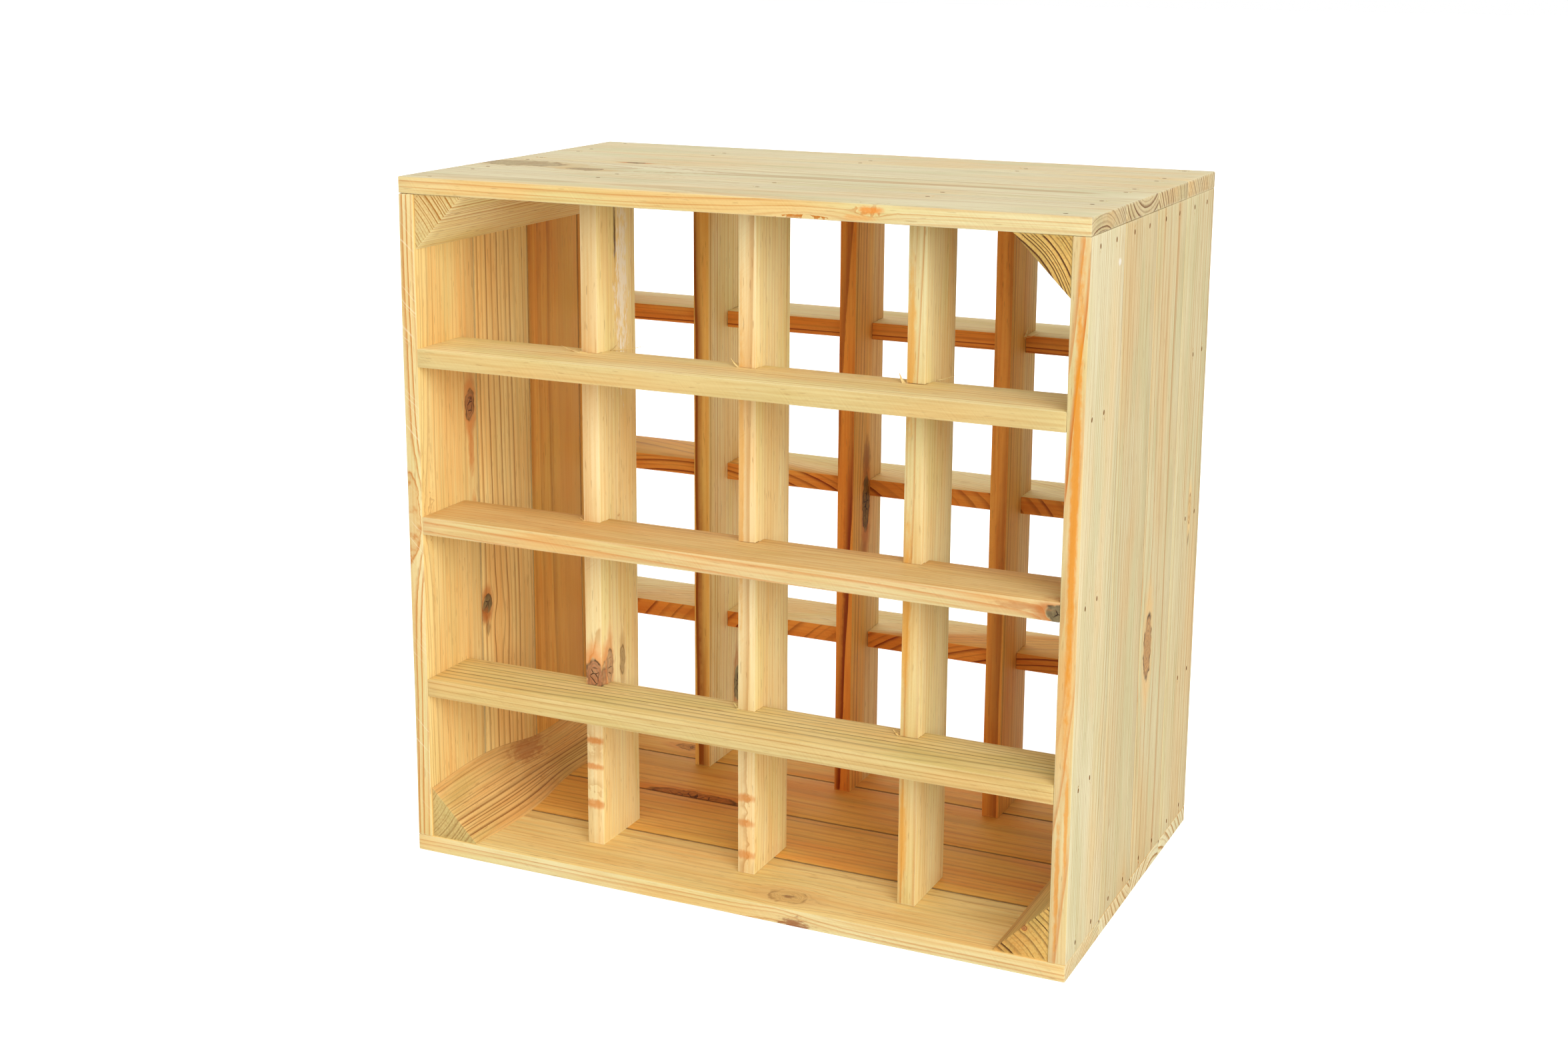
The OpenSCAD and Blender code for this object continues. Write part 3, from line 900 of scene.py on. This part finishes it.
SLAT_STAINS = {
    "front_upright_1": [stain(-115.5, -74, 425, (4, 10, 66), "#f8f1e0", 0.8, 3.6),
                        stain(-115.5, -83, 462, (4, 2.2, 30), "#5a3517", 0.8, 0.8),
                        stain(-124, -109, 92, (15, 3, 3.6), BAND, 0.75, 0.9),
                        stain(-124, -109, 72, (15, 3, 3.2), BAND, 0.7, 0.9),
                        stain(-124, -109, 43, (15, 3, 4.6), BAND, 0.65, 0.9)],
    "front_upright_2": [stain(-4.5, -109, 310, (3.4, 3, 150), STREAK, 0.6, 0.9),
                        stain(-2, -109, 69, (15, 3, 4.2), BAND, 0.62, 0.9),
                        stain(-2, -109, 50, (15, 3, 3.8), BAND, 0.62, 0.9),
                        stain(-2, -109, 26, (15, 3, 4.4), BAND, 0.62, 0.9)],
    "front_upright_3": [stain(118.5, -109, 225, (4.4, 3, 80), STREAK, 0.75, 0.9),
                        stain(118.5, -109, 400, (4.4, 3, 75), STREAK, 0.7, 0.9),
                        stain(118.5, -109, 60, (4.4, 3, 50), STREAK, 0.7, 0.9)],
    "front_shelf_2": [stain(212, -150, 251, (24, 3, 3), "#b5692c", 0.55, 1.4)],
    "rear_upright_2": [stain(6, 88, 275, (4, 10, 20), "#7a4a22", 0.5),
                       stain(6, 84, 200, (4, 9, 16), "#8a5728", 0.4)],
}

# %% Slats with their notches
SAW_PLAY = 0.15 * MM

def notch_cutters(node, mates):
    """Boxes for the notches where the mates' slats pass through a slat."""
    low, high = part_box(node)
    cutters = []
    for mate in mates:
        mate_low, mate_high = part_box(mate)
        cut_low, cut_high = mate_low - Vector((SAW_PLAY,) * 3), mate_high + Vector((SAW_PLAY,) * 3)
        lap_low, lap_high = max(low[1], mate_low[1]), min(high[1], mate_high[1])
        lap_middle = (lap_low + lap_high) / 2
        if mate_low[1] < low[1]:
            cut_high[1] = lap_middle
        else:
            cut_low[1] = lap_middle
        cutters.append(start_piece("cutter", cut_low, cut_high))
    return cutters

def crack_cutter(top, length, gape, depth):
    """A thin wedge that opens a drying crack downward from a point."""
    deselect()
    bpy.ops.mesh.primitive_cone_add(vertices=4, radius1=1, radius2=0.05, depth=1)
    wedge = bpy.context.object
    wedge.data.transform(Matrix.Rotation(math.pi, 4, "X"))
    wedge.data.transform(Matrix.Translation((0, 0, -0.5)))
    wedge.data.transform(Matrix.Diagonal((depth, gape / 2, length, 1)))
    wedge.data.transform(Matrix.Translation(top))
    return wedge

def lap_splinters(node):
    """The slivers that were torn out where the slats were pushed together."""
    if node == "front_shelf_3":
        return [splinter(at(-127, -111, 378.4), at(-146, -108, 380), 2.4 * MM, 1.0 * MM, 14),
                splinter(at(-129, -110.5, 378.6), at(-112, -112.5, 377.6), 3.3 * MM, 1.2 * MM, -24,
                         (0, -1, 0)),
                splinter(at(-114, -109, 378.4), at(-122, -120, 374.5), 2.7 * MM, 1.0 * MM, 20),
                splinter(at(-114, -88, 378.2), at(-88, -87, 380), 3.0 * MM, 1.0 * MM, 16),
                splinter(at(-115, -92, 378.4), at(-104, -94, 384.5), 1.8 * MM, 0.9 * MM, 40),
                splinter(at(-6, -109, 378.3), at(-15, -106, 382), 3.0 * MM, 1.0 * MM, 34),
                splinter(at(114, -109, 378.3), at(108, -104, 382.5), 3.3 * MM, 1.0 * MM, 30),
                splinter(at(130, -88, 378.2), at(143, -86, 380.5), 2.4 * MM, 0.9 * MM, 22)]
    if node == "front_shelf_2":
        return [splinter(at(-114, -85, 256.2), at(-112, -84, 261), 2.7 * MM, 1.0 * MM, 20),
                splinter(at(-127, -109, 256.2), at(-133, -108, 257.5), 2.4 * MM, 0.9 * MM, 24)]
    if node == "front_shelf_1":
        return [splinter(at(-6, -109, 134.2), at(-12, -105, 136), 2.4 * MM, 1.0 * MM, 24),
                splinter(at(115, -109, 134.2), at(109, -106, 136), 2.4 * MM, 1.0 * MM, 24)]
    if node == "rear_shelf_3":
        return [splinter(at(129, 92, 378.2), at(133, 90, 385), 3.9 * MM, 1.2 * MM, 24),
                splinter(at(130, 90, 378.2), at(142, 88, 380), 2.7 * MM, 1.0 * MM, 24)]
    return []

# For each slat: palette, ring width, late share, contrast, pith in front of or behind it, pith to the side
# or up, lean in depth, lean to the side, heartwood radius and palette.
SLAT_LOOKS = {
    "front_upright_1": ("lemon", 5.0, 0.46, 0.36, 130, 12, 0.006, 0.012, None),
    "front_upright_2": ("lemon", 4.2, 0.42, 0.42, -110, -40, 0.006, 0.004, None),
    # The third front upright has the palest palette and faint rings: painted light that offsets the shade
    # that the right wall casts on its side.
    "front_upright_3": ("lemon", 4.0, 0.40, 0.35, -96, -46, 0.005, 0.010, None),
    "front_shelf_1": ("reed", 3.0, 0.36, 1.10, -40, -60, 0.004, 0.002, None),
    "front_shelf_2": ("honey", 3.0, 0.50, 0.40, -80, -44, -0.030, 0.004, None),
    "front_shelf_3": ("lemon", 4.0, 0.45, 0.50, 150, -16, 0.004, 0.002, None),
    "rear_upright_1": ("lemon", 4.4, 0.5, 0.65, -90, 20, 0.004, 0.002, (68, "gold")),
    "rear_upright_2": ("honey", 5.4, 0.5, 0.70, -100, -30, 0.020, 0.006, (109, "amber")),
    "rear_upright_3": ("honey", 5.2, 0.5, 0.60, -110, -24, 0.004, 0.004, (117, "amber")),
    "rear_shelf_1": ("lemon", 4.0, 0.42, 0.42, -90, -36, 0.380, 0.030, (67, "amber")),
    "rear_shelf_2": ("lemon", 4.0, 0.45, 0.50, -90, -36, -0.380, 0.030, (67, "amber")),
    "rear_shelf_3": ("lemon", 3.4, 0.36, 0.45, -46, -60, 0.004, 0.002, (50, "amber")),
}
# The deep orange edges of the rear slats are partly heartwood and partly painted shade from inside the rack.
SLAT_EDGES = {"front_upright": "wheat", "front_shelf": "straw", "rear_upright": "rust", "rear_shelf": "rust",
              "front_upright_1": "pearl", "front_upright_2": "pearl", "front_shelf_1": "butter",
              "front_shelf_3": "butter", "rear_upright_1": "amber", "rear_upright_3": "ginger"}
for node, (palette, ring, share, contrast, deep, side, lean_deep, lean_side, heart) in SLAT_LOOKS.items():
    place, kind, number = node.split("_")
    standing = kind == "upright"
    mates = [f"{place}_{'shelf' if standing else 'upright'}_{k}" for k in (1, 2, 3)]
    low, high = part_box(node)
    slat = start_piece(node + "_wood", low, high)
    cut_out(slat, notch_cutters(node, mates))
    ease_edges(slat, 0.4 * MM)
    slice_piece(slat, 2 if standing else 0, LENGTHS)
    slice_piece(slat, 1, 4)
    roughen(slat, 0.6 * MM)
    if node == "front_upright_1":
        cut_out(slat, [crack_cutter(at(-115.4, -83, 488), 56 * MM, 2.8 * MM, 5 * MM)])
    slat = join_all([slat] + lap_splinters(node))
    far = rng.uniform(-3, 3)
    lean = Vector((lean_side, lean_deep, 0) if standing else (0, lean_deep, lean_side))
    pith = (low + high) / 2 + (at(side, deep, 0) if standing else at(0, deep, side))
    pith += (Vector((0, 0, far)) if standing else Vector((far, 0, 0))) + lean * far
    finish = pine(node.replace("_", " "), "Z" if standing else "X", "Y", pith, (low, high), ring, share,
                  palette=palette, contrast=contrast, heart=heart and (heart[0] * MM, heart[1]),
                  edge=SLAT_EDGES.get(node, SLAT_EDGES[place + "_" + kind]), edge_contrast=1.3,
                  # Faces that look to the back get a plain palette, so the painted shade of the rear slats
                  # stays on their front edges.
                  outside=((0, 1, 0), "straw" if place == "rear" else "wheat"),
                  knots=SLAT_KNOTS.get(node, ()), stains=SLAT_STAINS.get(node, ()), lean=lean)
    finish_piece(slat, node, kind + "_pine", finish)
print("slats made:", len(SLAT_LOOKS))

# %% [markdown]
# ## The corner blocks
# A block is a batten sawn corner to corner. It is made from a box whose far edge is welded onto the
# neighbouring one. The lower left block was split along crooked grain: each of its slices is scaled about
# the corner of the case, so the slope swells in front and falls away behind.

# %% Corner blocks
BLOCK_LENGTHS = 40

def make_block(level, side, palette, ring, contrast, pith, swings=0.0, **more):
    """A corner block. pith is in millimetres from the corner of the case, and swings is how much of its
    size a crooked block loses towards the back."""
    node = f"{level}_{side}_block"
    low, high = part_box(node)
    block = start_piece(node + "_wood", low, high)
    corner = Vector((low[0] if side == "left" else high[0], 0, high[2] if level == "top" else low[2]))
    far = Vector((high[0] if side == "left" else low[0], 0, low[2] if level == "top" else high[2]))
    select_where(block, lambda p: abs(p.x - far.x) < 1e-5 and abs(p.z - far.z) < 1e-5)
    bpy.ops.transform.translate(value=(corner.x - far.x, 0, 0))
    bpy.ops.mesh.select_all(action="SELECT")
    bpy.ops.mesh.remove_doubles(threshold=1e-5)
    bpy.ops.mesh.normals_make_consistent(inside=False)
    bpy.ops.object.mode_set(mode="OBJECT")
    slice_piece(block, 1, BLOCK_LENGTHS)
    slice_piece(block, 0, 6)
    ease_edges(block, 0.5 * MM)
    if swings:
        rest = block.data.attributes.new("rest", "FLOAT_VECTOR", "POINT")
        for i, v in enumerate(block.data.vertices):
            rest.data[i].vector = v.co
        for i in range(BLOCK_LENGTHS + 1):
            share = i / BLOCK_LENGTHS
            y = low[1] + (high[1] - low[1]) * i / BLOCK_LENGTHS
            fall = 0.5 + 0.5 * math.tanh((share - 0.42) * 9)
            size = 1 - swings * fall + 0.05 * math.sin(share * 11 - 0.6)
            select_where(block, lambda p: abs(p.y - y) < 3 * MM)
            bpy.ops.transform.resize(value=(size, 1, size), center_override=corner)
            bpy.ops.object.mode_set(mode="OBJECT")
    roughen(block, 1.0 * MM)
    finish = pine(node.replace("_", " "), "Y", "X", corner + pith * MM, (low, high), ring, palette=palette,
                  contrast=contrast, rest=swings > 0, **more)
    finish_piece(block, node, "block_pine", finish)

# The upper left block gets the pale lemon palette: painted light that offsets the shade on its face, which
# looks down and to the right.
make_block("top", "left", "lemon", 2.6, 0.42, Vector((-60, 900, -70)), end="butter")
make_block("top", "right", "olive", 2.3, 1.1, Vector((-86, 500, -74)), late_share=0.46)
# The reddish-brown patch on the lower left block is partly the wood's own colour and partly painted shade on
# its upper part, near the left wall.
make_block("bottom", "left", "moss", 2.8, 0.55, Vector((-66, -1100, 74)), swings=0.24, wander=5, end="fuzz",
           stains=[stain(-232, -24, 40, (15, 40, 13), "#a8602c", 0.55, 1.6)])
make_block("bottom", "right", "olive", 3.8, 0.9, Vector((-70, -400, -50)), late_share=0.45,
           knots=[knot(221, -149, 32, (0, 1, 0), 1.8, 1.0, 6, "brown", 0.9)])
print("corner blocks made")

# %% [markdown]
# ## The brads
# The brads stay as the frame has them and only get a finish: steel wire that was dipped in brown resin, so
# that it grips, with the bare metal showing here and there.

# %% Steel wire
def steel_wire():
    """Bare and resin-brown patches on steel."""
    made = bpy.data.materials.new("Brad wire")
    made.use_nodes = True
    t = made.node_tree
    shader = t.nodes["Principled BSDF"]
    place = t.nodes.new("ShaderNodeTexCoord").outputs["Object"]
    scale = spread(t, noise(t, place, 2500, 3, 0.6), 0.35, 0.7)
    put(t, shader.inputs["Base Color"], blend(t, scale, tint("#6a4a2c"), tint("#33241a")))
    put(t, shader.inputs["Roughness"], sums(t, "ADD", 0.45, times(t, scale, 0.3)))
    put(t, shader.inputs["Metallic"], times(t, sums(t, "SUBTRACT", 1.0, scale), 0.6))
    return made

wire = steel_wire()
for side in BRADS:
    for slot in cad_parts[side + "_brads"].material_slots:
        slot.material = wire
